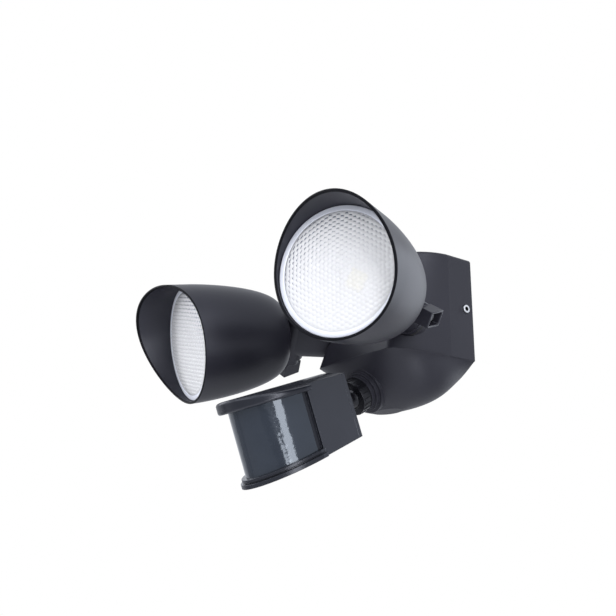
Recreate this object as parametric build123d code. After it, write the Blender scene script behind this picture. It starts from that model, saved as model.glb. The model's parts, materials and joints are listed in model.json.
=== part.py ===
from build123d import *
import os
from math import cos, radians, sin, tan

os.makedirs("parts", exist_ok=True)

# Twin-head wall light with a motion sensor. Millimetres. The wall is the plane Y = 0 and the light stands out
# along -Y. +X is to the right of a person facing it and +Z is up. The origin is the middle of the wall bolts.

# Clearances
fit_gap = 0.3          # loose fit between neighbouring pieces
turn_gap = 0.06        # radial clearance of a turning shaft
ball_gap = 0.3         # around the sensor's ball
wrench_gap = 1.1       # around the arms' lock nuts

# Base housing
half_width = 52.5
beyond = 4 * half_width   # past every piece, for cutting tools
base_top = 60.5
ledge_z = -24.0        # where the upper box meets the belly
base_wall = 2.6
side_depth = 26.0      # flat part of the side, from the wall
top_front = 58.0       # how far the box stands out at its top
ledge_front = 82.0     # and at the ledge
top_corner = 32.0      # how far the rounded corner reaches across, at the top and at the ledge
ledge_corner = 13.0
top_round = 3.0
crease_in = 2.5        # the rounded corner starts a little inward, which leaves a soft crease
# Belly sections: height, middle from the wall, share of the half width, half length, squareness
belly_sections = (
    (ledge_z, 28.0, 1.0, 56.0, 4.5),
    (-38.0, 36.0, 0.933, 42.0, 2.4),
    (-50.0, 39.0, 0.8, 31.0, 2.1),
    (-57.0, 43.0, 0.571, 20.0, 2.0),
    (-61.5, 46.0, 0.267, 9.0, 2.0),
)

# Wall plate and what is on it
gasket_thick = 1.5
plate_thick = 2.5
bolt_spacing = 70.0
bolt_slot_radius = 2.5
bolt_slot_length = 12.0
cable_z = -16.0
cable_radius = 5.0
grommet_neck = 8.0
grommet_flange = 11.0
grommet_lip = 2.0
tab_height = 14.0
tab_depth = 10.0
tab_thick = 4.0
screw_y = -8.0
screw_z = 17.4
screw_radius = 1.8
screw_head_radius = 3.2
screw_head_thick = 1.6
screw_proud = 0.6
screw_tail = 2.0
screw_key = 1.7
screw_key_deep = 1.5
driver_size = (58.0, 21.0, 34.0)
driver_z = 33.0
driver_round = 3.0
terminal_size = (32.0, 12.0, 11.0)
terminal_z = 6.0
terminal_ways = 3
terminal_well = 2.4
terminal_well_deep = 5.0

# Arms: each leaves a rounded corner of the base and ends in an eye that carries a head
seat_in = 9.75         # middle of the arm's flange: in from the housing's side, out from the wall, up
seat_y = -63.861
seat_z = 2.176
arm_yaw = 32.2
arm_rise = 8.3
arm_reach = 34.8       # from the flange to the eye
arm_root = (27.0, 23.0)   # width along the pivot and thickness, at the flange
arm_tip = (38.0, 20.0)    # and at the eye
arm_round = 9.0
arm_bore = 4.0
arm_web = 4.0          # between that bore and the eye
eye_radius = 10.5
eye_half = 19.6
flange_radius = 15.0
flange_thick = 4.0
shank_radius = 9.0
seal_thick = 1.7
boss_length = 12.0
nut_across = 25.0
nut_thick = 6.0
shank_tail = 3.0
nut_room = 40.0        # free length behind the arm's boss

# How the arms are turned and the heads tilted at rest: left, right
arm_roll = {-1: -42.9, 1: -32.9}
head_drop = {-1: 26.6, 1: 14.7}

# Lamp heads, measured from the pivot forward along the head
rear_from_pivot = 14.6
head_length = 77.2     # from the rear end to the lens
lens_from_pivot = rear_from_pivot + head_length
lens_radius = 45.0
head_wall = 1.95
rear_radius = 23.8
shell_power = 1.471
shell_root = 2.327
hood_low = 2.1
hood_high = 28.1
hood_power = 2.31
hood_flare = 0.037
hood_spare = 4.0       # beyond the hood, cut away by its sweep
rear_thick = 3.0
lens_thick = 3.0
lens_dome = 2.0
lens_rim = 4.0
gasket_width = 3.4
head_gasket_thick = 1.5
reflector_flange = 1.5
reflector_wall = 1.2
reflector_throat = 13.0
ledge_width = 2.8
ledge_thick = 3.0
board_radius = 24.0
board_thick = 1.6
chip_size = 13.0
chip_thick = 1.0
spreader_thick = 3.4
led_depth = 28.0       # face of the lamp board behind the lens
ear_thick = 6.0
ear_radius = 8.0
lug_end = 37.0
lug_width = 17.0
lug_height = 12.6
lug_wall = 1.6
lug_twist = 19.0
bolt_radius = 2.5
bolt_head_radius = 4.4
bolt_head_thick = 3.0
bolt_key = 2.3
bolt_key_deep = 2.0
bolt_tail = 2.0
plate_nut_thick = 6.0

# Motion sensor
sensor_y = -107.7      # middle of its rear face
sensor_z = -68.5
sensor_pitch = 20.5
sensor_half = 31.0
sensor_height = 47.5
sensor_side = 38.0     # straight part of its sides
sensor_nose = 46.0     # rounded front beyond them
sensor_slope = 7.5     # lower face falls away toward the front
brim_thick = 5.0
brim_over = 5.5
brim_round = 1.8
crown = 4.0            # rise of the sensor's top across its width
lip_thick = 6.0
lip_steps = ((3.2, 0.0, 3.0), (0.4, 3.0, 4.0), (1.8, 4.0, lip_thick))   # overhang, from, to
case_wall = 2.5
groove_width = 4.0
groove_depth = 2.0
skin = 0.1             # cuts start this far outside the case
window_inset = 1.6
window_thick = 1.8
back_thick = 3.0
back_screw_radius = 1.5
back_screw_head = 2.8
back_screw_head_thick = 1.6
back_screw_in = 7.0    # from the sensor's side
knuckle_back = 9.5
knuckle_radius = 6.0
knuckle_half = 6.0
knuckle_ear = 3.0
pin_radius = 2.0
pin_head = 3.4
pin_head_thick = 1.6
ball_y = -79.0
ball_z = -53.0
ball_radius = 10.0
stub_radius = 5.0
stub_bore = 2.5
stub_web = 3.0
ring_radius = 13.8
ring_front = 6.0
ring_back = 3.0
ring_ribs = 20
rib_rise = 1.0
rib_width = 1.8
rib_short = 3.0        # shorter than the ring
ring_mouth = 5.0       # flare around the ball's stub
# Collar on the belly: radius, how far back it reaches
socket_steps = ((14.4, 6.0), (16.4, 9.0), (18.6, 18.0))
socket_bore = 6.0
socket_room = 60.0     # the cable's way behind the ball
sensor_board_from = 26.0
sensor_board_height = 32.0
pyro_radius = 4.6
pyro_length = 4.5
knob_radius = 5.0
knob_out = 2.5
knob_deep = 4.0
knob_x = 12.0
knob_from_rear = 17.0
knob_well = 6.0
knob_slot = 1.4
knob_slot_deep = 1.0


def ring(outer, inner, low, high):
    """A flat ring about Z between two heights."""
    tube = Cylinder(outer, high - low) - Cylinder(inner, high - low)
    return Pos(0, 0, (low + high) / 2) * tube


def rod(radius, low, high):
    """A round bar about Z between two heights."""
    return Pos(0, 0, (low + high) / 2) * Cylinder(radius, high - low)


def block(x, y, z):
    """A box given by its limits on each axis."""
    size = [limits[1] - limits[0] for limits in (x, y, z)]
    return Pos((x[0] + x[1]) / 2, (y[0] + y[1]) / 2, (z[0] + z[1]) / 2) * Box(*size)


def save(shape, name):
    export_step(shape, "parts/" + name + ".step")


# Base housing: a box with rounded corners over a belly that bulges forward, open to the wall


def box_section(height, front, corner, inset):
    """Plan of the upper box at one height."""
    width = half_width - inset
    depth = front - inset
    straight = width - corner
    lines = []
    for side in (1, -1):
        start = (side * width, -side_depth, height)
        end = (side * straight, -depth, height)
        lines.append(Line((side * width, 0, height), start))
        lines.append(Bezier(
            start,
            (side * (width - crease_in), -side_depth - 0.55 * (depth - side_depth), height),
            (side * (straight + 0.55 * corner), -depth, height),
            end,
        ))
    lines.append(Line((straight, -depth, height), (-straight, -depth, height)))
    lines.append(Line((-width, 0, height), (width, 0, height)))
    return make_face(lines)


def oval_section(height, middle, across, along, squareness):
    """Plan of the belly at one height, a rounded oval."""
    points = []
    for step in range(24):
        angle = radians(15 * step)
        c, s = cos(angle), sin(angle)
        x = across * abs(c) ** (2 / squareness) * (1 if c >= 0 else -1)
        y = along * abs(s) ** (2 / squareness) * (1 if s >= 0 else -1)
        points.append((x, y - middle, height))
    return make_face(Spline(*points, periodic=True))


def housing_form(inset):
    """The housing's outside, or its inside when drawn inset."""
    upper = loft([
        box_section(ledge_z, ledge_front, ledge_corner, inset),
        box_section(base_top - inset, top_front, top_corner, inset),
    ], ruled=True)
    if inset == 0:
        rim = upper.edges().group_by(Axis.Z)[-1].filter_by(lambda edge: edge.center().Y < -1)
        upper = fillet(rim, top_round)
    ovals = []
    for height, middle, share, along, squareness in belly_sections:
        lift = 0 if height == ledge_z else inset
        across = share * half_width - inset
        ovals.append(oval_section(height + lift, middle, across, along - inset, squareness))
    belly = loft(ovals)
    return upper + (belly & block((-beyond, beyond), (-beyond, 0), (-beyond, beyond)))


def direction(yaw, rise, side):
    """Unit vector that leaves the wall, turned outward by yaw and up by rise."""
    level = cos(radians(rise))
    return Vector(side * sin(radians(yaw)) * level, -cos(radians(yaw)) * level, sin(radians(rise)))


def arm_frame(side):
    """Frame at the arm's eye: Z along the arm, X along the head's pivot."""
    along = direction(arm_yaw, arm_rise, side)
    level = Vector(cos(radians(arm_yaw)), side * sin(radians(arm_yaw)), 0)
    pivot = level.rotate(Axis((0, 0, 0), along), side * arm_roll[side])
    seat = Vector(side * (half_width - seat_in), seat_y, seat_z)
    return Plane(origin=seat + along * arm_reach, x_dir=pivot, z_dir=along)


def head_frame(side):
    """Frame at the same eye: Z along the head's own axis, Y toward the hood."""
    arm = arm_frame(side)
    forward = arm.z_dir.rotate(Axis((0, 0, 0), arm.x_dir), head_drop[side])
    return Plane(origin=arm.origin, x_dir=arm.x_dir, z_dir=forward)


def socket_frame():
    """Frame at the sensor's ball: Z along the neck toward the sensor."""
    start = Vector(0, ball_y, ball_z)
    return Plane(origin=start, x_dir=(1, 0, 0), z_dir=knuckle_point() - start)


def sensor_frame():
    """Frame at the middle of the sensor's rear face: Z forward, Y up."""
    pitch = radians(sensor_pitch)
    return Plane(origin=(0, sensor_y, sensor_z), x_dir=(1, 0, 0), z_dir=(0, -cos(pitch), -sin(pitch)))


def knuckle_point():
    pitch = radians(sensor_pitch)
    return Vector(0, sensor_y + knuckle_back * cos(pitch), sensor_z + knuckle_back * sin(pitch))


boss_face = -arm_reach - seal_thick - fit_gap   # along the arm, behind its flange and seal
boss_end = boss_face - boss_length

housing_out = housing_form(0)
housing_in = housing_form(base_wall)
nut_corner = nut_across / (2 * cos(radians(30)))
bosses = []
bores = []
for side in (-1, 1):
    place = arm_frame(side).location
    bosses.append(place * rod(flange_radius, boss_end, boss_face))
    bores.append(place * rod(shank_radius + turn_gap, boss_end - nut_room, boss_face + 1))
    bores.append(place * rod(nut_corner + wrench_gap, boss_end - nut_room, boss_end))
    bores.append(place * rod(flange_radius + 2 * fit_gap, boss_face, boss_face + beyond))
    spot = Pos(side * half_width, screw_y, screw_z) * Rot(0, 90, 0)
    bores.append(spot * Cylinder(screw_radius + fit_gap, 4 * base_wall))
    bores.append(spot * Cylinder(screw_head_radius + fit_gap, screw_head_thick))
ball_place = socket_frame().location
front = -ring_back
for radius, back in socket_steps:
    bosses.append(ball_place * rod(radius, -back, front))
    front = -back
bores.append(ball_place * Sphere(ball_radius + ball_gap))
bores.append(ball_place * rod(socket_bore, -socket_room, 0))
base_housing = housing_out - housing_in
for boss in bosses:
    base_housing = base_housing + boss
for bore in bores:
    base_housing = base_housing - bore
save(base_housing, "base_housing")

# Sensor ring nut: screws onto the socket and holds the ball
ring_nut = rod(ring_radius, -ring_back, ring_front) - Sphere(ball_radius + ball_gap)
ring_nut = ring_nut - Pos(0, 0, ring_front) * Cone(ball_radius - ring_mouth, ball_radius + 1, ring_mouth)
for step in range(ring_ribs):
    rib = Box(rib_rise, rib_width, ring_front + ring_back - rib_short)
    rib = Pos(ring_radius, 0, (ring_front - ring_back) / 2) * rib
    ring_nut = ring_nut + Rot(0, 0, step * 360 / ring_ribs) * rib
save(ball_place * ring_nut, "sensor_ring_nut")

# Wall plate, its gasket and the two screws that hold the housing to it
plate_form = housing_form(base_wall + fit_gap)
plate_face = -gasket_thick - plate_thick
bolt_slots = []
for side in (-1, 1):
    slot = extrude(SlotOverall(bolt_slot_length, 2 * bolt_slot_radius), beyond, both=True)
    bolt_slots.append(Pos(side * bolt_spacing / 2, 0, 0) * Rot(90, 0, 0) * slot)
cable_hole = Pos(0, 0, cable_z) * Rot(90, 0, 0) * Cylinder(grommet_neck, beyond)
wall_plate = plate_form & block((-beyond, beyond), (plate_face, -gasket_thick), (-beyond, beyond))
cover_screws = []
for side in (-1, 1):
    edge = half_width - base_wall - fit_gap
    x = sorted((side * edge, side * (edge - tab_thick)))
    z = (screw_z - tab_height / 2, screw_z + tab_height / 2)
    wall_plate = wall_plate + block(x, (plate_face - tab_depth, plate_face + plate_thick / 2), z)
    spot = Pos(side * edge, screw_y, screw_z) * Rot(0, 90, 0)
    wall_plate = wall_plate - spot * Cylinder(screw_radius, 4 * tab_thick)
    head_top = screw_head_thick / 2 + screw_proud
    head = rod(screw_head_radius, -screw_head_thick / 2, head_top)
    key = Plane.XY.offset(head_top - screw_key_deep) * RegularPolygon(screw_key, 6)
    head = head - extrude(key, 2 * screw_key_deep)
    screw = head + rod(screw_radius, -base_wall - tab_thick - screw_tail, 0)
    cover_screws.append(Pos(side * half_width, screw_y, screw_z) * Rot(0, side * 90, 0) * screw)
for cut in bolt_slots + [cable_hole]:
    wall_plate = wall_plate - cut
save(wall_plate, "wall_plate")
save(Compound(children=cover_screws), "cover_screws")

rear_gasket = plate_form & block((-beyond, beyond), (-gasket_thick, 0), (-beyond, beyond))
for cut in bolt_slots + [cable_hole]:
    rear_gasket = rear_gasket - cut
save(rear_gasket, "rear_gasket")

# Cable grommet, terminal block and lamp driver on the wall plate
grommet_end = grommet_lip - plate_face
grommet = rod(grommet_neck, 0, -plate_face) + rod(grommet_flange, -plate_face, grommet_end)
grommet = grommet - rod(cable_radius, -1, grommet_end + 1)
save(Pos(0, 0, cable_z) * Rot(90, 0, 0) * grommet, "cable_grommet")

width, depth, height = terminal_size
z = (terminal_z - height / 2, terminal_z + height / 2)
terminal_block = block((-width / 2, width / 2), (plate_face - depth, plate_face), z)
for step in range(terminal_ways):
    x = width * ((step + 0.5) / terminal_ways - 0.5)
    well = Pos(x, plate_face - depth, terminal_z) * Rot(90, 0, 0)
    terminal_block = terminal_block - well * Cylinder(terminal_well, 2 * terminal_well_deep)
save(terminal_block, "terminal_block")

width, depth, height = driver_size
z = (driver_z - height / 2, driver_z + height / 2)
led_driver = block((-width / 2, width / 2), (plate_face - depth, plate_face), z)
save(fillet(led_driver.edges().filter_by(Axis.Y), driver_round), "led_driver")

# Arms and lamp heads


def make_arm():
    """Arm in its own frame: eye at the origin, shank toward the base."""
    neck_low = -arm_reach + flange_thick
    root = Plane.XY.offset(neck_low) * RectangleRounded(*arm_root, arm_round)
    body = loft([root, RectangleRounded(*arm_tip, arm_round)])
    body = body + rod(flange_radius, -arm_reach, neck_low)
    body = body + Rot(0, 90, 0) * Cylinder(eye_radius, 2 * eye_half)
    body = body + rod(shank_radius, boss_end - nut_thick - fit_gap - shank_tail, -arm_reach)
    body = body - rod(arm_bore, -beyond, -eye_radius - arm_web)
    return body - Rot(0, 90, 0) * Cylinder(bolt_radius + turn_gap, 4 * eye_half)


def make_arm_nut():
    """Lock nut on the arm's shank, inside the base."""
    low = boss_end - fit_gap - nut_thick
    nut = extrude(Plane.XY.offset(low) * RegularPolygon(nut_across / 2, 6, major_radius=False), nut_thick)
    return nut - rod(shank_radius, low - 1, low + nut_thick + 1)


def shell_radius(back):
    """Outer radius of a head this far behind its lens."""
    part = min(back / head_length, 1.0)
    swell = lens_radius + head_wall - rear_radius
    return rear_radius + swell * (1 - part ** shell_power) ** (1 / shell_root)


def shell_form(inset, front):
    """Solid of revolution of the head, drawn inset for its hollow."""
    end = head_length - (rear_thick if inset else 0)
    points = []
    for step in range(13):
        back = end * sin(radians(90 * step / 12))
        points.append((shell_radius(back) - inset, 0, lens_from_pivot - back))
    tip = (lens_radius + head_wall + hood_flare * front - inset, 0, lens_from_pivot + front)
    lines = [
        Spline(*points),
        Line(points[-1], (0, 0, points[-1][2])),
        Line((0, 0, points[-1][2]), (0, 0, tip[2])),
        Line((0, 0, tip[2]), tip),
        Line(tip, points[0]),
    ]
    return revolve(make_face(lines), Axis.Z)


def hood_cut():
    """What lies in front of the hood's sweeping rim."""
    points = []
    reach = lens_radius + head_wall + hood_flare * hood_high
    for step in range(13):
        height = reach * (step / 6 - 1)
        share = (1 + height / reach) / 2
        points.append((0, height, lens_from_pivot + hood_low + (hood_high - hood_low) * share ** hood_power))
    far = lens_from_pivot + 3 * hood_high
    lines = [
        Spline(*points),
        Line(points[-1], (0, 2 * reach, points[-1][2])),
        Line((0, 2 * reach, points[-1][2]), (0, 2 * reach, far)),
        Line((0, 2 * reach, far), (0, -2 * reach, far)),
        Line((0, -2 * reach, far), (0, -2 * reach, points[0][2])),
        Line((0, -2 * reach, points[0][2]), points[0]),
    ]
    return extrude(make_face(lines), 2 * reach, dir=(1, 0, 0), both=True)


stack_gasket = lens_from_pivot - lens_thick
stack_flange = stack_gasket - head_gasket_thick
stack_ledge = stack_flange - reflector_flange
board_face = lens_from_pivot - led_depth
spreader_face = board_face - board_thick
spreader_back = spreader_face - spreader_thick
ear_start = eye_half + fit_gap


def make_shell(side):
    """Lamp head shell with its hood, two rear ears and the nut lug on its outer ear."""
    form = shell_form(0, hood_high + hood_spare)
    for way in (-1, 1):
        x = sorted((way * ear_start, way * (ear_start + ear_thick)))
        form = form + block(x, (-ear_radius, ear_radius), (0, rear_from_pivot + rear_thick))
        eye = Pos(way * (ear_start + ear_thick / 2), 0, 0) * Rot(0, 90, 0)
        form = form + eye * Cylinder(ear_radius, ear_thick)
    x = sorted((side * (ear_start + 1), side * lug_end))
    lug = block(x, (-lug_height / 2, lug_height / 2), (-lug_width / 2, lug_width / 2))
    form = form + Rot(lug_twist, 0, 0) * lug
    form = form - shell_form(head_wall, hood_high + 2 * hood_spare)
    for back in (lens_from_pivot - stack_ledge, lens_from_pivot - spreader_back):
        bore = shell_radius(back) - head_wall - ledge_width
        low = lens_from_pivot - back - ledge_thick
        form = form + ring(shell_radius(back + ledge_thick) - head_wall / 2, bore, low, low + ledge_thick)
    form = form - hood_cut()
    x = sorted((side * (ear_start + ear_thick), side * (lug_end + 1)))
    y = lug_height / 2 - lug_wall
    z = lug_width / 2 - lug_wall
    form = form - Rot(lug_twist, 0, 0) * block(x, (-y, y), (-z, z))
    form = form - Rot(0, 90, 0) * Cylinder(bolt_radius, 3 * lug_end)
    return form - rod(arm_bore, 0, rear_from_pivot + rear_thick + 1)


def make_lens():
    """Clear lens: a plain rim with a shallow dome inside it."""
    edge = lens_radius - fit_gap
    inner = edge - lens_rim
    ball = (inner * inner + lens_dome * lens_dome) / (2 * lens_dome)
    disc = rod(edge, lens_from_pivot - lens_thick, lens_from_pivot)
    dome = Pos(0, 0, lens_from_pivot + lens_dome - ball) * Sphere(ball)
    return disc + (dome & rod(inner, lens_from_pivot - lens_thick / 2, lens_from_pivot + 2 * lens_dome))


def make_reflector():
    """White dish between the lens gasket and the lamp board."""
    mouth = shell_radius(lens_from_pivot - stack_ledge) - head_wall - ledge_width - fit_gap
    flange = lens_radius - 3 * fit_gap
    length = stack_ledge - board_face
    outer = Pos(0, 0, board_face + length / 2) * Cone(reflector_throat + reflector_wall, mouth, length)
    outer = outer + rod(mouth, stack_ledge, stack_flange) + ring(flange, mouth - 1, stack_ledge, stack_flange)
    inner = Pos(0, 0, board_face + (length + reflector_flange) / 2) * Cone(
        reflector_throat, mouth - reflector_wall, length + reflector_flange)
    return outer - inner


for side, name in ((-1, "left"), (1, "right")):
    arm = arm_frame(side).location
    head = head_frame(side).location
    save(arm * make_arm(), "arm_" + name)
    save(arm * make_arm_nut(), "arm_nut_" + name)
    seal = ring(flange_radius, shank_radius + fit_gap, boss_face, boss_face + seal_thick)
    save(arm * seal, "arm_seal_" + name)
    save(head * make_shell(side), "head_shell_" + name)
    save(head * make_lens(), "lens_" + name)
    gasket = ring(lens_radius - 2 * fit_gap, lens_radius - gasket_width, stack_flange, stack_gasket)
    save(head * gasket, "lens_gasket_" + name)
    save(head * make_reflector(), "reflector_" + name)
    save(head * rod(board_radius, spreader_face, board_face), "led_board_" + name)
    chip_edge = (-chip_size / 2, chip_size / 2)
    chip = block(chip_edge, chip_edge, (board_face, board_face + chip_thick))
    save(head * chip, "led_chip_" + name)
    spreader_radius = shell_radius(lens_from_pivot - spreader_face) - head_wall - 3 * fit_gap
    save(head * rod(spreader_radius, spreader_back, spreader_face), "heat_spreader_" + name)
    inner_end = ear_start + ear_thick
    nut_face = inner_end + plate_nut_thick
    bolt_end = -inner_end - bolt_head_thick
    bolt = rod(bolt_radius, -inner_end, nut_face + bolt_tail) + rod(bolt_head_radius, bolt_end, -inner_end)
    bolt = bolt - extrude(Plane.XY.offset(bolt_end) * RegularPolygon(bolt_key, 6), bolt_key_deep)
    turn = Rot(0, 90 * side, 0)
    save(head * turn * bolt, "pivot_bolt_" + name)
    x = lug_width / 2 - lug_wall - fit_gap
    y = lug_height / 2 - lug_wall - fit_gap
    nut = block((-x, x), (-y, y), (inner_end, nut_face))
    nut = nut - rod(bolt_radius, inner_end - 1, nut_face + 1)
    save(head * Rot(lug_twist, 0, 0) * turn * nut, "pivot_nut_" + name)

# Motion sensor


def sensor_plan(grow, front_only=False):
    """Plan of the sensor in its X and Z: straight sides and a rounded nose, drawn on the XZ plane."""
    half = sensor_half + (0 if front_only else grow)
    nose_half = sensor_half + grow
    points = []
    for step in range(13):
        angle = radians(15 * step)
        points.append((nose_half * cos(angle), 0, sensor_side + (sensor_nose + grow) * sin(angle)))
    lines = [Spline(*points, tangents=[(0, 0, 1), (0, 0, -1)])]
    corners = [
        points[-1], (-nose_half, 0, sensor_side), (-half, 0, sensor_side), (-half, 0, 0),
        (half, 0, 0), (half, 0, sensor_side), points[0],
    ]
    for start, end in zip(corners, corners[1:]):
        if (Vector(*start) - Vector(*end)).length > 1e-6:
            lines.append(Line(start, end))
    return make_face(lines)


def sensor_slab(grow, low, high, front_only=False):
    """The plan raised between two heights."""
    plan = sensor_plan(grow, front_only)
    return Pos(0, low, 0) * extrude(plan, high - low, dir=(0, 1, 0))


sensor_top = sensor_height / 2
sensor_deep = sensor_top + (sensor_side + sensor_nose) * tan(radians(sensor_slope)) + sensor_height / 2


def above_slope(lift):
    """Everything above the sensor's sloping lower face, raised by lift."""
    place = Pos(0, -sensor_top + lift / cos(radians(sensor_slope)), 0) * Rot(sensor_slope, 0, 0)
    return place * Pos(0, beyond / 2, 0) * Box(beyond, beyond, 2 * beyond)


def under_crown():
    """Everything below the sensor's top, which is slightly rounded across."""
    radius = (sensor_half * sensor_half + crown * crown) / (2 * crown)
    return Pos(0, sensor_top + crown - radius, 0) * Cylinder(radius, 2 * beyond)


place = sensor_frame().location
whole = sensor_slab(0, -sensor_deep, sensor_top + crown) & above_slope(0) & under_crown()
brim = sensor_slab(brim_over, sensor_top - brim_thick, sensor_top + crown, True) & under_crown()
nose = brim.edges().filter_by(lambda edge: edge.center().Z > sensor_side + sensor_nose / 2)
brim = fillet(nose, brim_round)
case = whole + brim
for over, low, high in lip_steps:
    case = case + ((sensor_slab(over, -sensor_deep, 0, True) & above_slope(low)) - above_slope(high))
span = (-beyond, beyond)
band = above_slope(lip_thick) & block(span, (-sensor_deep, sensor_top - brim_thick), (-1, beyond))
ahead = block(span, span, (sensor_side + groove_width, beyond))
outline = sensor_slab(skin, -sensor_deep, sensor_top)
groove = outline - sensor_slab(-groove_depth, -sensor_deep, sensor_top)
case = case - (groove & band & block(span, span, (sensor_side, beyond)))
case = case - (outline & band & ahead)
ceiling = sensor_top - case_wall
hollow = sensor_slab(-case_wall - groove_depth, -sensor_deep, ceiling) & above_slope(case_wall)
case = case - (hollow & block(span, span, (back_thick, beyond)))
case = case - block(span, span, (-beyond, back_thick))
hollow = sensor_slab(-case_wall, -sensor_deep, ceiling) & above_slope(case_wall)
case = case - (hollow & block(span, span, (0, sensor_side - case_wall)))
for way in (-1, 1):
    well = Pos(way * knob_x, -sensor_top, 0) * Rot(sensor_slope, 0, 0) * Pos(0, 0, knob_from_rear)
    case = case - well * Rot(90, 0, 0) * Cylinder(knob_radius + fit_gap, 2 * knob_well)
save(place * case, "sensor_case")

window = sensor_slab(-window_inset, -sensor_deep, sensor_top)
window = window - sensor_slab(-window_inset - window_thick, -sensor_deep, sensor_top)
save(place * (window & band & ahead), "sensor_window")

back = whole & block(span, span, (0, back_thick))
ear_gap = knuckle_half + fit_gap
for way in (-1, 1):
    x = sorted((way * ear_gap, way * (ear_gap + knuckle_ear)))
    back = back + block(x, (-knuckle_radius, knuckle_radius), (-knuckle_back, back_thick / 2))
    eye = Pos(way * (ear_gap + knuckle_ear / 2), 0, -knuckle_back) * Rot(0, 90, 0)
    back = back + eye * Cylinder(knuckle_radius, knuckle_ear)
back = back - Pos(0, 0, -knuckle_back) * Rot(0, 90, 0) * Cylinder(pin_radius, beyond)
screws = []
for way in (-1, 1):
    spot = Pos(way * (sensor_half - back_screw_in), 0, 0)
    back = back - spot * rod(back_screw_radius, -back_thick, 2 * back_thick)
    screw = rod(back_screw_head, -back_screw_head_thick, 0)
    screws.append(place * spot * (screw + rod(back_screw_radius, -back_screw_head_thick / 2, back_thick)))
save(place * back, "sensor_back")
save(Compound(children=screws), "sensor_screws")

pin_end = ear_gap + knuckle_ear
pin = rod(pin_radius, -pin_end, pin_end) + rod(pin_head, pin_end, pin_end + pin_head_thick)
pin = pin + rod(pin_head, -pin_end - pin_head_thick, -pin_end)
save(place * Pos(0, 0, -knuckle_back) * Rot(0, 90, 0) * pin, "sensor_pin")

neck = (knuckle_point() - Vector(0, ball_y, ball_z)).length
stub = Sphere(ball_radius) + rod(stub_radius, 0, neck - knuckle_radius + 1)
stub = stub + Pos(0, 0, neck) * Rot(0, 90, 0) * Cylinder(knuckle_radius, 2 * knuckle_half)
stub = stub - Pos(0, 0, neck) * Rot(0, 90, 0) * Cylinder(pin_radius + turn_gap, beyond)
stub = stub - rod(stub_bore, -2 * ball_radius, neck - knuckle_radius - stub_web)
save(ball_place * stub, "sensor_ball")

board_half = sensor_half - case_wall - fit_gap
board_top = sensor_top - case_wall - fit_gap
board_front = sensor_board_from + board_thick
y = (board_top - sensor_board_height, board_top)
sensor_board = block((-board_half, board_half), y, (sensor_board_from, board_front))
save(place * sensor_board, "sensor_board")
save(place * rod(pyro_radius, board_front, board_front + pyro_length), "pyro_sensor")

for way, name in ((-1, "time_knob"), (1, "range_knob")):
    spot = Pos(way * knob_x, -sensor_top, 0) * Rot(sensor_slope, 0, 0) * Pos(0, 0, knob_from_rear)
    knob = rod(knob_radius, -knob_deep, knob_out)
    knob = knob - Pos(0, 0, knob_out) * Box(knob_slot, 1.6 * knob_radius, 2 * knob_slot_deep)
    save(place * spot * Rot(90, 0, 0) * knob, name)
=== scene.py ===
import json
from math import cos, pi, radians, sin, sqrt

import bmesh
import bpy
from mathutils import Matrix, Vector


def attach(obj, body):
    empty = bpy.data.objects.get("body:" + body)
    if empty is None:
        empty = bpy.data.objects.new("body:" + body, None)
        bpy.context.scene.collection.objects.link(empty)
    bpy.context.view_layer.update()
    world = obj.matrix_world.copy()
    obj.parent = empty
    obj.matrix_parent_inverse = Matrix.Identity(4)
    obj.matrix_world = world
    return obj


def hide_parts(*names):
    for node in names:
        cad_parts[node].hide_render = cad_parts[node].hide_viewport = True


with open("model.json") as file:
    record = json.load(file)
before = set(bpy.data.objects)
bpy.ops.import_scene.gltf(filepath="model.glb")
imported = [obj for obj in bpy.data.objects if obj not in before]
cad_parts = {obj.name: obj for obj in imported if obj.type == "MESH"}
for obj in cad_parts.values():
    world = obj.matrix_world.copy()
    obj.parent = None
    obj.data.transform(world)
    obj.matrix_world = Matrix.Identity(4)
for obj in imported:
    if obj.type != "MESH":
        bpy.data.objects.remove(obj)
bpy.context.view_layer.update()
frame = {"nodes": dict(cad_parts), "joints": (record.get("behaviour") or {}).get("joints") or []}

# Base housing: a box with rounded corners over a belly, injection moulded in charcoal plastic.
# The mould's spark-eroded face leaves a fine satin grain, and handling polishes the edges a little.
# It hangs over the wall plate and is held by a screw in each side.
node = frame["nodes"]
plastic_edge = 0.0007
plastic_glint = (0.9, 0.92, 1.0, 1.0)


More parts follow.
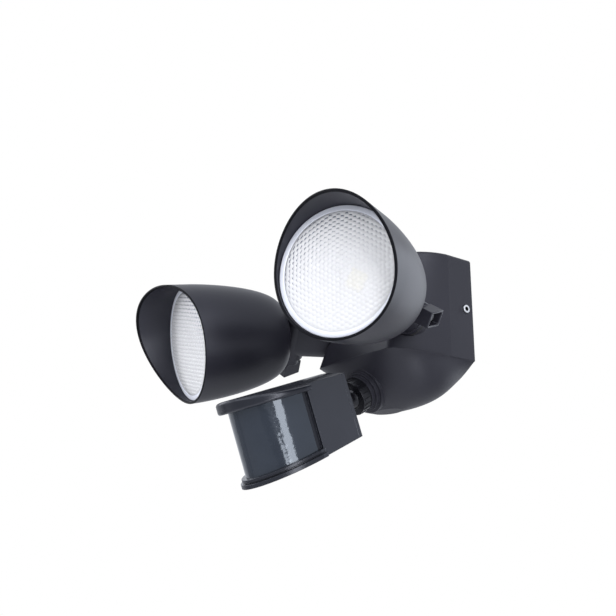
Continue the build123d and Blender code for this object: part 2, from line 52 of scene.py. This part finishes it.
class Tap:
    """A socket of a shader tree that takes arithmetic, and the way to every other node of that tree."""

    def __init__(self, tree, socket=None):
        self.tree = tree
        self.socket = socket

    def node(self, kind, settings, inputs, output=0):
        made = self.tree.nodes.new(kind)
        for key, value in settings.items():
            setattr(made, key, value)
        for key, value in inputs.items():
            if isinstance(value, Tap):
                self.tree.links.new(value.socket, made.inputs[key])
            else:
                made.inputs[key].default_value = value
        return Tap(self.tree, made.outputs[output])

    def math(self, operation, first, second=0.0):
        return self.node("ShaderNodeMath", {"operation": operation}, {0: first, 1: second})

    def __add__(self, other):
        return self.math("ADD", self, other)

    def __radd__(self, other):
        return self.math("ADD", other, self)

    def __sub__(self, other):
        return self.math("SUBTRACT", self, other)

    def __rsub__(self, other):
        return self.math("SUBTRACT", other, self)

    def __mul__(self, other):
        return self.math("MULTIPLY", self, other)

    def __rmul__(self, other):
        return self.math("MULTIPLY", other, self)

    def __pow__(self, other):
        return self.math("POWER", self, other)

    def above(self, limit):
        return self.math("GREATER_THAN", self, limit)

    def below(self, limit):
        return self.math("LESS_THAN", self, limit)

    def place(self):
        return self.node("ShaderNodeTexCoord", {}, {}, "Object")

    def spot(self):
        place = self.place()
        return [self.node("ShaderNodeSeparateXYZ", {}, {"Vector": place}, axis) for axis in "XYZ"]

    def noise(self, scale, detail=2.0, roughness=0.5, distortion=0.0):
        inputs = {"Vector": self.place(), "Scale": scale, "Detail": detail}
        inputs.update({"Roughness": roughness, "Distortion": distortion})
        return self.node("ShaderNodeTexNoise", {}, inputs, "Fac")

    def between(self, share, low, high):
        low, high = (end if isinstance(end, Tap) else (*end, 1.0) for end in (low, high))
        return self.node("ShaderNodeMix", {"data_type": "RGBA"}, {0: share, 6: low, 7: high}, 2)

    def dot(self, first, second):
        return self.node("ShaderNodeVectorMath", {"operation": "DOT_PRODUCT"}, {0: first, 1: second}, "Value")

    def ramp(self, value, start, stop):
        inputs = {"Value": value, "From Min": start, "From Max": stop}
        return self.node("ShaderNodeMapRange", {}, inputs, "Result")

    def rounded(self, radius):
        return self.node("ShaderNodeBevel", {"samples": 4}, {"Radius": radius}, "Normal")

    def bump(self, height, depth, strength, edge):
        inputs = {"Height": height, "Distance": depth, "Strength": strength, "Normal": edge}
        return self.node("ShaderNodeBump", {}, inputs, "Normal")

    def edge_wear(self, edge):
        return 1.0 - self.dot(edge, self.node("ShaderNodeNewGeometry", {}, {}, "Normal"))


def new_finish(name, constants):
    """A material and its shader, with the values that are the same all over already set."""
    material = bpy.data.materials.new(name)
    material.use_nodes = True
    shader = material.node_tree.nodes["Principled BSDF"]
    for socket, value in constants.items():
        shader.inputs[socket].default_value = value
    return material, shader, Tap(material.node_tree)


def feed(shader, links):
    """Links what varies over a surface to the shader's sockets."""
    for socket, tap in links.items():
        tap.tree.links.new(tap.socket, shader.inputs[socket])


def charcoal(name, dark, light, roughness, shine=0.36):
    """Moulded plastic with a fine grain, a little paler and smoother on its edges."""
    material, shader, tap = new_finish(name, {"Specular IOR Level": shine, "Specular Tint": plastic_glint})
    edge = tap.rounded(plastic_edge)
    wear = tap.edge_wear(edge)
    cloud = tap.noise(scale=28.0, detail=3.0)
    grain = tap.noise(scale=2600.0, roughness=0.6)
    paleness = cloud * 0.55 + grain * 0.25 + wear * 1.6
    feed(shader, {
        "Base Color": tap.between(paleness, dark, light),
        "Roughness": roughness + (cloud - 0.5) * 0.08 + (grain - 0.5) * 0.1 - wear * 0.2,
        "Normal": tap.bump(grain, depth=0.00006, strength=0.35, edge=edge),
    })
    return material


def paint(material, *names):
    """Gives CAD nodes their material."""
    for name in names:
        slots = node[name].data.materials
        slots.clear()
        slots.append(material)


housing_plastic = charcoal(
    "charcoal plastic", dark=(0.009, 0.0087, 0.013), light=(0.0185, 0.0178, 0.0245), roughness=0.48)
paint(housing_plastic, "base_housing")

# Cover screws: one in each side of the base, through the housing into the wall plate's tabs.
# Zinc-plated steel, turned bright, with a hexagon recess whose shade is painted as a near-black round spot.
screw_out = -0.008
screw_up = 0.0174
screw_edge = 0.0004
recess_radius = 0.0018
screw_zinc, screw_shader, tap = new_finish("screw zinc", {"Metallic": 1.0})
screw_y, screw_z = tap.spot()[1:]
away = ((screw_y - screw_out) ** 2.0 + (screw_z - screw_up) ** 2.0) ** 0.5
mark = tap.noise(scale=1800.0, detail=3.0)
# Painted shade: near-black base colour within the recess radius of each screw's axis, bright zinc outside it.
feed(screw_shader, {
    "Base Color": tap.between(away.above(recess_radius), (0.02, 0.02, 0.022), (0.7, 0.71, 0.73)),
    "Roughness": 0.3 + (mark - 0.5) * 0.2,
    "Normal": tap.bump(mark, depth=0.00003, strength=0.3, edge=tap.rounded(screw_edge)),
})
paint(screw_zinc, "cover_screws")

# Wall plate: pressed steel, stoved black, with side tabs for the cover screws and two slots for wall bolts.
# The rubber gasket behind it seals to the wall, and the grommet in it takes the supply cable.
plate_edge = 0.0004
plate_black, plate_shader, tap = new_finish("stoved black steel", {"Specular IOR Level": 0.5})
peel = tap.noise(scale=900.0)
tone = tap.noise(scale=40.0, detail=3.0)
feed(plate_shader, {
    "Base Color": tap.between(tone, (0.014, 0.014, 0.015), (0.028, 0.028, 0.03)),
    "Roughness": 0.36 + (peel - 0.5) * 0.2,
    "Normal": tap.bump(peel, depth=0.00005, strength=0.4, edge=tap.rounded(plate_edge)),
})
paint(plate_black, "wall_plate")

rubber_edge = 0.0005
seal_rubber, rubber_shader, tap = new_finish("seal rubber", {"Specular IOR Level": 0.3})
bloom = tap.noise(scale=160.0, detail=4.0, roughness=0.6)
skin = tap.noise(scale=1500.0)
feed(rubber_shader, {
    "Base Color": tap.between(bloom, (0.012, 0.012, 0.012), (0.026, 0.026, 0.025)),
    "Roughness": 0.72 + (bloom - 0.5) * 0.2,
    "Normal": tap.bump(skin, depth=0.00005, strength=0.5, edge=tap.rounded(rubber_edge)),
})
paint(seal_rubber, "rear_gasket", "cable_grommet")

# Lamp driver and terminal block: closed moulded blocks on the wall plate, hidden by the housing.
# The driver's case is white, the terminal block ivory with a screw well for each core.
moulding_edge = 0.0006


def plain_moulding(name, dark, light, roughness):
    """Pale moulded plastic with a faint speck."""
    material, shader, tap = new_finish(name, {"Specular IOR Level": 0.4})
    speck = tap.noise(scale=500.0, detail=3.0)
    feed(shader, {
        "Base Color": tap.between(speck, dark, light),
        "Roughness": roughness + (speck - 0.5) * 0.15,
        "Normal": tap.bump(speck, depth=0.00005, strength=0.3, edge=tap.rounded(moulding_edge)),
    })
    return material


driver_white = plain_moulding("driver white", dark=(0.6, 0.6, 0.59), light=(0.72, 0.72, 0.71), roughness=0.5)
paint(driver_white, "led_driver")
ivory = plain_moulding("terminal ivory", dark=(0.6, 0.56, 0.46), light=(0.74, 0.7, 0.6), roughness=0.5)
paint(ivory, "terminal_block")

# Arms: tapered mouldings with a round flange that turns on the base and an eye for the head's pivot bolt.
# Same charcoal plastic as the base, from another mould with a slightly glossier face.
# A rubber ring seals each flange, and a zinc-plated nut inside the housing holds it.
metal_edge = 0.0003
dull_share = 0.7


def plated_steel(name, colour, roughness):
    """Bare or plated metal with fine scratches."""
    material, shader, tap = new_finish(name, {"Metallic": 1.0})
    scratch = tap.noise(scale=1800.0, detail=3.0, distortion=1.5)
    feed(shader, {
        "Base Color": tap.between(scratch, tuple(dull_share * part for part in colour), colour),
        "Roughness": roughness + (scratch - 0.5) * 0.2,
        "Normal": tap.bump(scratch, depth=0.00003, strength=0.3, edge=tap.rounded(metal_edge)),
    })
    return material


arm_plastic = charcoal(
    "arm plastic", dark=(0.0095, 0.0093, 0.0138), light=(0.019, 0.0185, 0.0255), roughness=0.38)
paint(arm_plastic, "arm_left", "arm_right")
paint(seal_rubber, "arm_seal_left", "arm_seal_right")
zinc = plated_steel("zinc plated steel", colour=(0.72, 0.73, 0.75), roughness=0.28)
paint(zinc, "arm_nut_left", "arm_nut_right")

# Lamp head shells: thin moulded bells. The hood is the bell's own wall, cut in one sweep, longest at the top.
# Two ears behind the closed end take the arm's eye, and the outer ear has a rectangular pocket for the nut.
# Both are one moulding in charcoal plastic, with a black edge round the mouth.
hinge = {joint["name"]: joint for joint in frame["joints"]}
head_drop = {"left": radians(26.6), "right": radians(14.7)}
lens_ahead = 0.0918
lens_radius = 0.045
bell_wall = 0.00195
bell_length = 0.0772
bell_rear = 0.0238
bell_fullness = 1.471
bell_roundness = 2.327
bell_bands = 30
rear_shares = (0.0, 0.5, 0.9)
bell_around = 176
hood_low = 0.0021
hood_high = 0.0281
hood_sweep = 2.31
hood_flare = 0.037
hood_shares = (0.2, 0.4, 0.6, 0.8, 0.94, 1.0)
lip_rounding = ((0.15, 0.00032), (0.5, 0.00048), (0.85, 0.00032))
seat_back = 0.006
seat_step = 0.0028
seat_thick = 0.003
inner_bands = 8
inner_end = 0.003
inner_end_round = 0.004
rim_from = 36
rim_bands = range(rim_from, rim_from + 6)
ear_from = 0.0199
ear_thick = 0.006
ear_round = 0.008
ear_steps = 20
ear_sunk = 0.0008
lug_end = 0.037
lug_half = (0.0063, 0.0085)
lug_pocket = (0.0047, 0.0069)
lug_twist = radians(19.0)
lug_sunk = 0.001
bracket_edge = 0.0005
crease_angle = radians(38)


def head_place(name):
    """Frame of a head at its pivot: X along the pivot bolt, Y to the hood, Z out through the lens."""
    across = -Vector(hinge[name + "_head_tilt"]["axis"])
    forward = Vector(hinge[name + "_arm_swivel"]["axis"])
    forward.rotate(Matrix.Rotation(head_drop[name], 3, across))
    up = forward.cross(across)
    place = Matrix((across, up, forward)).transposed().to_4x4()
    place.translation = Vector(hinge[name + "_head_tilt"]["pos_m"])
    return place


def bell_radius(back):
    """Outer radius of the bell this far behind the lens."""
    swell = (1 - min(back / bell_length, 1.0) ** bell_fullness) ** (1 / bell_roundness)
    return bell_rear + (lens_radius + bell_wall - bell_rear) * swell


def hood_reach(turn):
    """How far the hood stands ahead of the lens at one turn from its middle."""
    return hood_low + (hood_high - hood_low) * ((1 + cos(turn)) / 2) ** hood_sweep


def bell_profile(turn):
    """Section of the bell at one turn from the hood's middle: from the rear end, round the rim, back in."""
    points = [(bell_rear * share, lens_ahead - bell_length) for share in rear_shares]
    for step in range(bell_bands):
        back = bell_length * sin(pi / 2 * (1 - step / (bell_bands - 1)))
        points.append((bell_radius(back), lens_ahead - back))
    reach = hood_reach(turn)
    mouth = lens_radius + bell_wall
    for share in hood_shares:
        points.append((mouth + hood_flare * reach * share, lens_ahead + reach * share))
    edge = mouth + hood_flare * reach
    for inward, ahead in lip_rounding:
        points.append((edge - bell_wall * inward, lens_ahead + reach + ahead))
    for share in (*reversed(hood_shares), 0.0):
        points.append((lens_radius + hood_flare * reach * share, lens_ahead + reach * share))
    for back in (seat_back / 2, seat_back):
        points.append((bell_radius(back) - bell_wall, lens_ahead - back))
    for back in (seat_back, seat_back + seat_thick):
        points.append((bell_radius(back) - bell_wall - seat_step, lens_ahead - back))
    inside_from = seat_back + seat_thick
    for step in range(1, inner_bands + 1):
        back = inside_from + (bell_length - inside_from - inner_end) * step / inner_bands
        radius = bell_radius(min(back, bell_length - inner_end_round)) - bell_wall
        points.append((radius, lens_ahead - min(back, bell_length - inner_end)))
    points.append((0.0, lens_ahead - bell_length + inner_end))
    return points


def spun(name, profile, around, place, material, rim=()):
    """A closed shell from a profile that may change as it goes round, with its ends on the axis.
    Bands of the profile whose numbers are in rim take the second material."""
    mesh = bmesh.new()
    sections = []
    first = profile(0.0)
    ends = [mesh.verts.new((0, 0, first[0][1])), mesh.verts.new((0, 0, first[-1][1]))]
    for step in range(around):
        turn = 2 * pi * step / around
        points = profile(turn)[1:-1]
        spots = [(radius * sin(turn), radius * cos(turn), ahead) for radius, ahead in points]
        sections.append([mesh.verts.new(spot) for spot in spots])
    for here, there in zip(sections, sections[1:] + sections[:1]):
        mesh.faces.new((ends[0], there[0], here[0]))
        mesh.faces.new((ends[1], here[-1], there[-1]))
        for low in range(len(here) - 1):
            face = mesh.faces.new((here[low], there[low], there[low + 1], here[low + 1]))
            face.material_index = 1 if low in rim else 0
    return finished(name, mesh, place, material)


def finished(name, mesh, place, material):
    """An object from a mesh in a head's frame, smooth apart from its sharp edges."""
    bmesh.ops.recalc_face_normals(mesh, faces=mesh.faces)
    for face in mesh.faces:
        face.smooth = True
    data = bpy.data.meshes.new(name)
    mesh.to_mesh(data)
    mesh.free()
    data.set_sharp_from_angle(angle=crease_angle)
    data.materials.append(material)
    piece = bpy.data.objects.new(name, data)
    bpy.context.scene.collection.objects.link(piece)
    data.transform(place)
    return piece


def prism(mesh, outline, low, high):
    """A straight bar along X with this outline in Y and Z."""
    rings = [[mesh.verts.new((x, y, z)) for y, z in outline] for x in (low, high)]
    mesh.faces.new(rings[0])
    mesh.faces.new(rings[1])
    for step in range(len(outline)):
        after = (step + 1) % len(outline)
        mesh.faces.new((rings[0][step], rings[0][after], rings[1][after], rings[1][step]))


def lug_ring(mesh, x, half):
    """Four corners of the lug or of its pocket at one place along the bolt."""
    ring = []
    for y_side, z_side in ((-1, -1), (1, -1), (1, 1), (-1, 1)):
        flat, tall = y_side * half[0], z_side * half[1]
        y = flat * cos(lug_twist) - tall * sin(lug_twist)
        z = flat * sin(lug_twist) + tall * cos(lug_twist)
        ring.append(mesh.verts.new((x, y, z)))
    return ring


def head_bracket(name, side, place, material):
    """The two ears behind a bell, and the open rectangular pocket on the outer one."""
    mesh = bmesh.new()
    top = lens_ahead - bell_length + ear_sunk
    turns = [pi * step / ear_steps for step in range(ear_steps + 1)]
    outline = [(-ear_round, top)]
    outline += [(-ear_round * cos(turn), -ear_round * sin(turn)) for turn in turns]
    outline.append((ear_round, top))
    for way in (-1, 1):
        prism(mesh, outline, *sorted((way * ear_from, way * (ear_from + ear_thick))))
    floor = side * (ear_from + ear_thick)
    mouth = side * lug_end
    sizes = ((floor - side * lug_sunk, lug_half), (mouth, lug_half), (mouth, lug_pocket), (floor, lug_pocket))
    rings = [lug_ring(mesh, x, half) for x, half in sizes]
    for here, there in zip(rings, rings[1:]):
        for step in range(4):
            after = (step + 1) % 4
            mesh.faces.new((here[step], here[after], there[after], there[step]))
    mesh.faces.new(rings[0])
    mesh.faces.new(rings[-1])
    piece = finished(name, mesh, place, material)
    bevel = piece.modifiers.new("moulded edges", "BEVEL")
    bevel.width = bracket_edge
    bevel.segments = 2
    bevel.limit_method = "ANGLE"
    return piece


head_plastic = charcoal(
    "head plastic", dark=(0.01, 0.0098, 0.0145), light=(0.02, 0.0196, 0.027), roughness=0.4)
rim_plastic = charcoal(
    "rim plastic", dark=(0.002, 0.002, 0.003), light=(0.004, 0.004, 0.0055), roughness=0.5, shine=0.08)
for name, side in (("left", -1), ("right", 1)):
    place = head_place(name)
    bell = spun("head_bell_" + name, bell_profile, bell_around, place, head_plastic, rim_bands)
    bell.data.materials.append(rim_plastic)
    bracket = head_bracket("head_bracket_" + name, side, place, head_plastic)
    for piece in (bell, bracket):
        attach(piece, name + "_head")
        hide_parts("head_shell_" + name)

# Pivot bolts and nuts: bolts through ears and arm eye, into rectangular plate nuts held in the lugs' pockets.
# Steel, the bolts darkened and the nuts blackened.
pivot_steel = plated_steel("pivot steel", colour=(0.16, 0.16, 0.17), roughness=0.4)
paint(pivot_steel, "pivot_bolt_left", "pivot_bolt_right")
nut_steel = plated_steel("blackened steel", colour=(0.035, 0.035, 0.038), roughness=0.5)
paint(nut_steel, "pivot_nut_left", "pivot_nut_right")

# Lamp boards, chips and heat spreaders: a yellow phosphor chip on a white board, on an aluminium disc.
# They sit behind the reflector's throat and show through the lens as a pale yellow patch.
phosphor, phosphor_shader, tap = new_finish("yellow phosphor", {"Roughness": 0.35})
dots = {"Vector": tap.place(), "Scale": 700.0}
phosphor_dots = tap.node("ShaderNodeTexVoronoi", {"feature": "F1"}, dots, "Distance")
feed(phosphor_shader, {"Base Color": tap.between(phosphor_dots, (0.88, 0.8, 0.36), (0.8, 0.68, 0.2))})
paint(phosphor, "led_chip_left", "led_chip_right")
board_white = plain_moulding("board white", dark=(0.78, 0.78, 0.77), light=(0.86, 0.86, 0.85), roughness=0.4)
paint(board_white, "led_board_left", "led_board_right")
spreader = plated_steel("spreader aluminium", colour=(0.8, 0.81, 0.82), roughness=0.38)
paint(spreader, "heat_spreader_left", "heat_spreader_right")

# Reflectors: white moulded dishes between lens and lamp board, with a fine satin face.
# Each sits in the bell behind its lens, and its throat frames the chip.
dish_white = plain_moulding("dish white", dark=(0.86, 0.86, 0.87), light=(0.92, 0.92, 0.93), roughness=0.34)
paint(dish_white, "reflector_left", "reflector_right")

# Lenses: clear moulded discs, a plain ring round a shallow dome of small six-sided pillows.
# The pillows spread the light. Each lens is held in the bell on its gasket.
# The lens colour carries a painted reflection of the dark hood on the outer slope of each pillow.
lens_clearance = 0.0003
lens_edge = lens_radius - lens_clearance
lens_thick = 0.003
ring_width = 0.004
ring_round = 0.0006
dome_edge = lens_edge - ring_width
dome_rise = 0.002
dome_fade = 0.0012
dome_last_step = 0.0004
pillow_pitch = 0.0034
pillow_rise = 0.00055
lens_around = 400
ring_step = 0.00045
shade_least = 0.36
shade_most = 1.1
shade_middle = 0.35
shade_inward = 0.855
shade_upward = 0.4275
paint(seal_rubber, "lens_gasket_left", "lens_gasket_right")


def lens_ring(mesh, radius, ahead):
    """A ring of points round the lens's axis."""
    turns = (2 * pi * step / lens_around for step in range(lens_around))
    return [mesh.verts.new((radius * sin(turn), radius * cos(turn), ahead)) for turn in turns]


def pillow_offset(x, y):
    """From the middle of the nearest six-sided pillow to this place, as shares of a pillow's corner."""
    row = pillow_pitch * sqrt(3) / 2
    corner = pillow_pitch / sqrt(3)
    offsets = []
    for line in (y // row, y // row + 1):
        shift = 0.5 * pillow_pitch * (line % 2)
        column = round((x - shift) / pillow_pitch)
        offsets.append(Vector((x - shift - column * pillow_pitch, y - line * row)) / corner)
    return min(offsets, key=lambda offset: offset.length)


def hood_shade(inward, upward):
    """How strong the painted reflection of the dark hood is on the pillows at one place: most at its top and
    the light's middle.
    """
    share = shade_middle + (shade_inward * inward + shade_upward * upward) / lens_edge
    return shade_least + (shade_most - shade_least) * max(0.0, min(1.0, share))


def clear_lens(name, middle_side, place, material):
    """A lens whose painted hood shade and distance from its middle are kept as attributes for the material.
    """
    mesh = bmesh.new()
    painted_hood_shade = mesh.verts.layers.float.new("painted_hood_shade")
    outward = mesh.verts.layers.float.new("outward")
    rings = []
    radii = [ring_step * step for step in range(1, int(dome_edge / ring_step))]
    radii += [dome_edge - dome_last_step, dome_edge]
    middle = mesh.verts.new((0, 0, lens_ahead + dome_rise + pillow_rise))
    for radius in radii:
        fade = min(1.0, (dome_edge - radius) / dome_fade)
        ring = lens_ring(mesh, radius, lens_ahead + dome_rise * (1 - (radius / dome_edge) ** 2))
        for vert in ring:
            offset = pillow_offset(vert.co.x, vert.co.y)
            vert.co.z += fade * pillow_rise * (1 - offset.length_squared)
            leaning = max(0.0, offset.dot(vert.co.xy) / radius)
            # Painted shade: the pillow's outward slope gets the mirrored dark hood, stored for the lens
            # colour.
            vert[painted_hood_shade] = fade * leaning * hood_shade(vert.co.x * middle_side, vert.co.y)
            vert[outward] = radius / lens_edge
        rings.append(ring)
    border = (
        (dome_edge + ring_round / 2, -ring_round / 2), (dome_edge + ring_round, 0.0),
        (lens_edge - ring_round, 0.0), (lens_edge - ring_round / 3, -ring_round / 3),
        (lens_edge, -ring_round), (lens_edge, -lens_thick),
        (dome_edge, -lens_thick), (0.5 * lens_edge, -lens_thick),
    )
    for radius, ahead in border:
        ring = lens_ring(mesh, radius, lens_ahead + ahead)
        for vert in ring:
            vert[outward] = radius / lens_edge
        rings.append(ring)
    back = mesh.verts.new((0, 0, lens_ahead - lens_thick))
    for step in range(lens_around):
        after = (step + 1) % lens_around
        mesh.faces.new((middle, rings[0][step], rings[0][after]))
        mesh.faces.new((back, rings[-1][after], rings[-1][step]))
        for near, far in zip(rings, rings[1:]):
            mesh.faces.new((near[step], far[step], far[after], near[after]))
    return finished(name, mesh, place, material)


# Painted reflection of the dark hood: along each pillow's outer slope the lens colour darkens to blue-black
# and grows more opaque, most towards the rim.
painted_shade_gain = 2.4
painted_shade_sharpness = 1.5
painted_shade_in_middle = 0.46
painted_shade_edge_sharpness = 1.4
lens_clear, lens_shader, tap = new_finish("clear lens", {"Specular IOR Level": 0.5, "IOR": 1.49})
haze = tap.noise(scale=120.0)
line = tap.node("ShaderNodeAttribute", {"attribute_name": "painted_hood_shade"}, {}, "Fac")
out = tap.node("ShaderNodeAttribute", {"attribute_name": "outward"}, {}, "Fac")
border_share = tap.ramp(out, start=0.905, stop=0.915)
edge_share = tap.ramp(out, start=0.35, stop=0.95)
depth = painted_shade_gain * line ** painted_shade_sharpness
reach = painted_shade_in_middle + (1.0 - painted_shade_in_middle) * edge_share ** painted_shade_edge_sharpness
shade = tap.math("MINIMUM", 1.0, depth * reach) * (1.0 - border_share)
lens_face_with_painted_shade = tap.between(shade, (0.84, 0.836, 0.84), (0.08, 0.09, 0.13))
feed(lens_shader, {
    "Base Color": tap.between(border_share, lens_face_with_painted_shade, (0.88, 0.9, 0.98)),
    "Roughness": 0.06 + haze * 0.05,
    "Alpha": 0.44 + haze * 0.06 + border_share * 0.3 + shade * 0.45,
})
for name, middle_side in (("left", 1), ("right", -1)):
    lens = clear_lens("dimpled_lens_" + name, middle_side, head_place(name), lens_clear)
    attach(lens, name + "_head")
    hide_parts("lens_" + name)

# Sensor neck: a moulded ball and stub in the belly's stepped collar, held by a ribbed ring nut.
# The stub ends in an eye between two ears of the sensor's back cover, on a steel pin.
neck_plastic = charcoal(
    "neck plastic", dark=(0.004, 0.004, 0.0055), light=(0.009, 0.009, 0.0115), roughness=0.22, shine=0.3)
paint(neck_plastic, "sensor_ball", "sensor_ring_nut")
paint(pivot_steel, "sensor_pin")

# Sensor case and back cover: glossy mouldings closed by two screws.
# The case has a brim, a stepped lip and a groove in each side.
# Grooves and the front edges of brim and lip get painted shade: a near-black matte shader mixed over the
# gloss there.
sensor_rear = Vector((0.0, -0.1077, -0.0685))
sensor_pitch = radians(20.5)
groove_from, groove_to = 0.0379, 0.0424
groove_floor = 0.0305
groove_top = 0.0187
groove_low = -0.0177
lip_slope = 0.1317
groove_painted_shade = 0.5
front_painted_shade = 0.42
case_look = {"dark": (0.013, 0.0142, 0.0195), "light": (0.025, 0.027, 0.035), "roughness": 0.22, "shine": 0.5}
paint(charcoal("sensor plastic", **case_look), "sensor_back")
paint(zinc, "sensor_screws")
case_with_painted_shade = charcoal("sensor case", **case_look)
tap = Tap(case_with_painted_shade.node_tree)
case_x, case_y, case_z = tap.spot()
ahead = (sensor_rear.y - case_y) * cos(sensor_pitch) + (sensor_rear.z - case_z) * sin(sensor_pitch)
height = (sensor_rear.y - case_y) * sin(sensor_pitch) + (case_z - sensor_rear.z) * cos(sensor_pitch)
lip_height = height + ahead * lip_slope
groove = tap.math("ABSOLUTE", case_x).below(groove_floor) * ahead.above(groove_from) * ahead.below(groove_to)
groove = groove * height.below(groove_top) * lip_height.above(groove_low)
case_up = (0.0, -sin(sensor_pitch), cos(sensor_pitch))
lying = tap.dot(tap.node("ShaderNodeTexCoord", {}, {}, "Normal"), case_up)
front = tap.math("MAXIMUM", height.above(groove_top), lip_height.below(groove_low)) * ahead.above(groove_to)
front = front * (1.0 - tap.math("ABSOLUTE", lying))
# Painted shade: how much near-black matte shader the grooves and the front edges of brim and lip get.
shadow = groove * groove_painted_shade + front * front_painted_shade
gloss = Tap(tap.tree, tap.tree.nodes["Principled BSDF"].outputs[0])
painted_shade_black = tap.node("ShaderNodeBsdfDiffuse", {}, {"Color": (0.006, 0.006, 0.008, 1.0)})
gloss_and_painted_shade = tap.node("ShaderNodeMixShader", {}, {0: shadow, 1: gloss, 2: painted_shade_black})
feed(tap.tree.nodes["Material Output"], {"Surface": gloss_and_painted_shade})
paint(case_with_painted_shade, "sensor_case")

# Sensor window: a sheet of smoke-grey gloss plastic bent round the case's front, with a slight ripple.
# The circuit board and the heat-sensing element in its metal can sit behind it.
window_edge = 0.0005
window_glint = (0.84, 0.91, 1.0, 1.0)
window_look = {"Specular IOR Level": 0.6, "Specular Tint": window_glint}
smoke, smoke_shader, tap = new_finish("smoke window", window_look)
ripple = tap.noise(scale=110.0, detail=3.0, roughness=0.6)
feed(smoke_shader, {
    "Base Color": tap.between(tap.noise(scale=60.0), (0.013, 0.0165, 0.024), (0.02, 0.0245, 0.034)),
    "Roughness": 0.05 + ripple * 0.06,
    "Normal": tap.bump(ripple, depth=0.0006, strength=0.25, edge=tap.rounded(window_edge)),
})
paint(smoke, "sensor_window")
green_board, green_shader, tap = new_finish("green circuit board", {"Specular IOR Level": 0.5})
bands = {"wave_type": "BANDS", "bands_direction": "X"}
waves = {"Vector": tap.place(), "Scale": 130.0, "Distortion": 3.0}
tracks = tap.node("ShaderNodeTexWave", bands, waves, "Fac")
feed(green_shader, {
    "Base Color": tap.between(tracks, (0.01, 0.1, 0.04), (0.03, 0.2, 0.09)),
    "Roughness": 0.3 + tracks * 0.2,
})
paint(green_board, "sensor_board")
paint(zinc, "pyro_sensor")

# Time and range knobs: small slotted dials in wells under the sensor, moulded in dark plastic.
# Each is turned with a screwdriver, to set how long and how far the sensor works.
knob_plastic = charcoal("knob plastic", dark=(0.02, 0.02, 0.022), light=(0.04, 0.04, 0.044), roughness=0.34)
paint(knob_plastic, "time_knob", "range_knob")

# Studio: a pale floor well below the light and a white surround, which glossy faces mirror too.
# Large soft lamps stand in front, to both sides and behind, with a dim panel below.
floor_level = -0.95
floor_half = 4.0
fill_level = 0.52
fill_tint = (0.9, 0.935, 1.0)
scene = bpy.context.scene
scene.view_settings.view_transform = "Standard"
floor_data = bpy.data.meshes.new("studio_floor")
corners = ((-1, -1), (1, -1), (1, 1), (-1, 1))
floor_corners = [(x * floor_half, y * floor_half, floor_level) for x, y in corners]
floor_data.from_pydata(floor_corners, [], [(0, 1, 2, 3)])
floor = bpy.data.objects.new("studio_floor", floor_data)
scene.collection.objects.link(floor)
pale, pale_shader, tap = new_finish("pale floor", {"Roughness": 0.8})
feed(pale_shader, {"Base Color": tap.between(tap.noise(scale=3.0), (0.84, 0.84, 0.84), (0.88, 0.88, 0.88))})
floor_data.materials.append(pale)

world = bpy.data.worlds.new("studio")
scene.world = world
world.use_nodes = True
tap = Tap(world.node_tree)
rays = ("Is Camera Ray", "Is Glossy Ray", "Is Transmission Ray")
direct, mirrored, through = (tap.node("ShaderNodeLightPath", {}, {}, ray) for ray in rays)
white = tap.math("MAXIMUM", tap.math("MAXIMUM", direct, mirrored), through)
feed(world.node_tree.nodes["Background"], {
    "Color": tap.between(direct, fill_tint, (1.0, 1.0, 1.0)),
    "Strength": tap.math("MAXIMUM", white, fill_level),
})


def soft_lamp(name, at, aim, size, watts, tint=(0.95, 0.965, 1.0), roll=0.0):
    """A rectangular lamp that the camera does not see."""
    data = bpy.data.lights.new(name, "AREA")
    data.shape = "RECTANGLE"
    data.size, data.size_y = size
    data.energy = watts
    data.color = tint
    lamp = bpy.data.objects.new(name, data)
    lamp.location = at
    lamp.visible_camera = False
    turned = (Vector(aim) - Vector(at)).to_track_quat("-Z", "Y").to_matrix() @ Matrix.Rotation(roll, 3, "Z")
    lamp.rotation_euler = turned.to_euler()
    scene.collection.objects.link(lamp)


middle = (0, -0.1, 0)
right_of_middle = (0.03, -0.1, 0)
soft_lamp("front_box", at=(0.35, -1.5, 0.5), aim=middle, size=(1.0, 0.9), watts=8.0)
soft_lamp("left_front_box", at=(-0.6, -1.4, 0.0), aim=middle, size=(0.7, 0.9), watts=4.0)
strip_roll = radians(17.0)
soft_lamp(
    "right_strip", at=(1.25, -0.35, -0.05), aim=right_of_middle, size=(0.3, 1.15), watts=8.5, roll=strip_roll)
soft_lamp("low_right_box", at=(1.18, -0.43, -0.5), aim=right_of_middle, size=(0.32, 0.42), watts=3.0)
soft_lamp("high_right_box", at=(1.0, -0.55, 0.75), aim=right_of_middle, size=(0.6, 0.6), watts=5.5)
soft_lamp(
    "rear_box", at=(0.1, 1.3, 0.2), aim=(0.05, -0.1, 0), size=(0.8, 1.0), watts=3.8, tint=(0.85, 0.91, 1.0))
soft_lamp("left_box", at=(-1.1, -0.9, 0.35), aim=(0, -0.1, -0.02), size=(0.8, 1.1), watts=8.0)
soft_lamp("bounce_panel", at=(0.2, -0.5, -0.41), aim=(0.2, -0.5, 0), size=(1.3, 1.3), watts=0.9)

# Camera: at the photograph's place, to the right of the light and a little below it.
# Its axes and its focal length come from fitting the light's edges to those in the photograph.
eye = Vector((0.5755, -0.5716, -0.2169))
right_axis = (0.6128, 0.7903, 0.0)
up_axis = (0.2341, -0.1815, 0.9552)
back_axis = (0.7548, -0.5853, -0.2962)
sensor_width = 36.0
focal_pixels = 1001.4
picture_pixels = 616
camera_data = bpy.data.cameras.new("camera")
camera_data.sensor_width = sensor_width
camera_data.lens = sensor_width * focal_pixels / picture_pixels
camera = bpy.data.objects.new("camera", camera_data)
camera.matrix_world = Matrix.Translation(eye) @ Matrix((right_axis, up_axis, back_axis)).transposed().to_4x4()
scene.collection.objects.link(camera)
scene.camera = camera
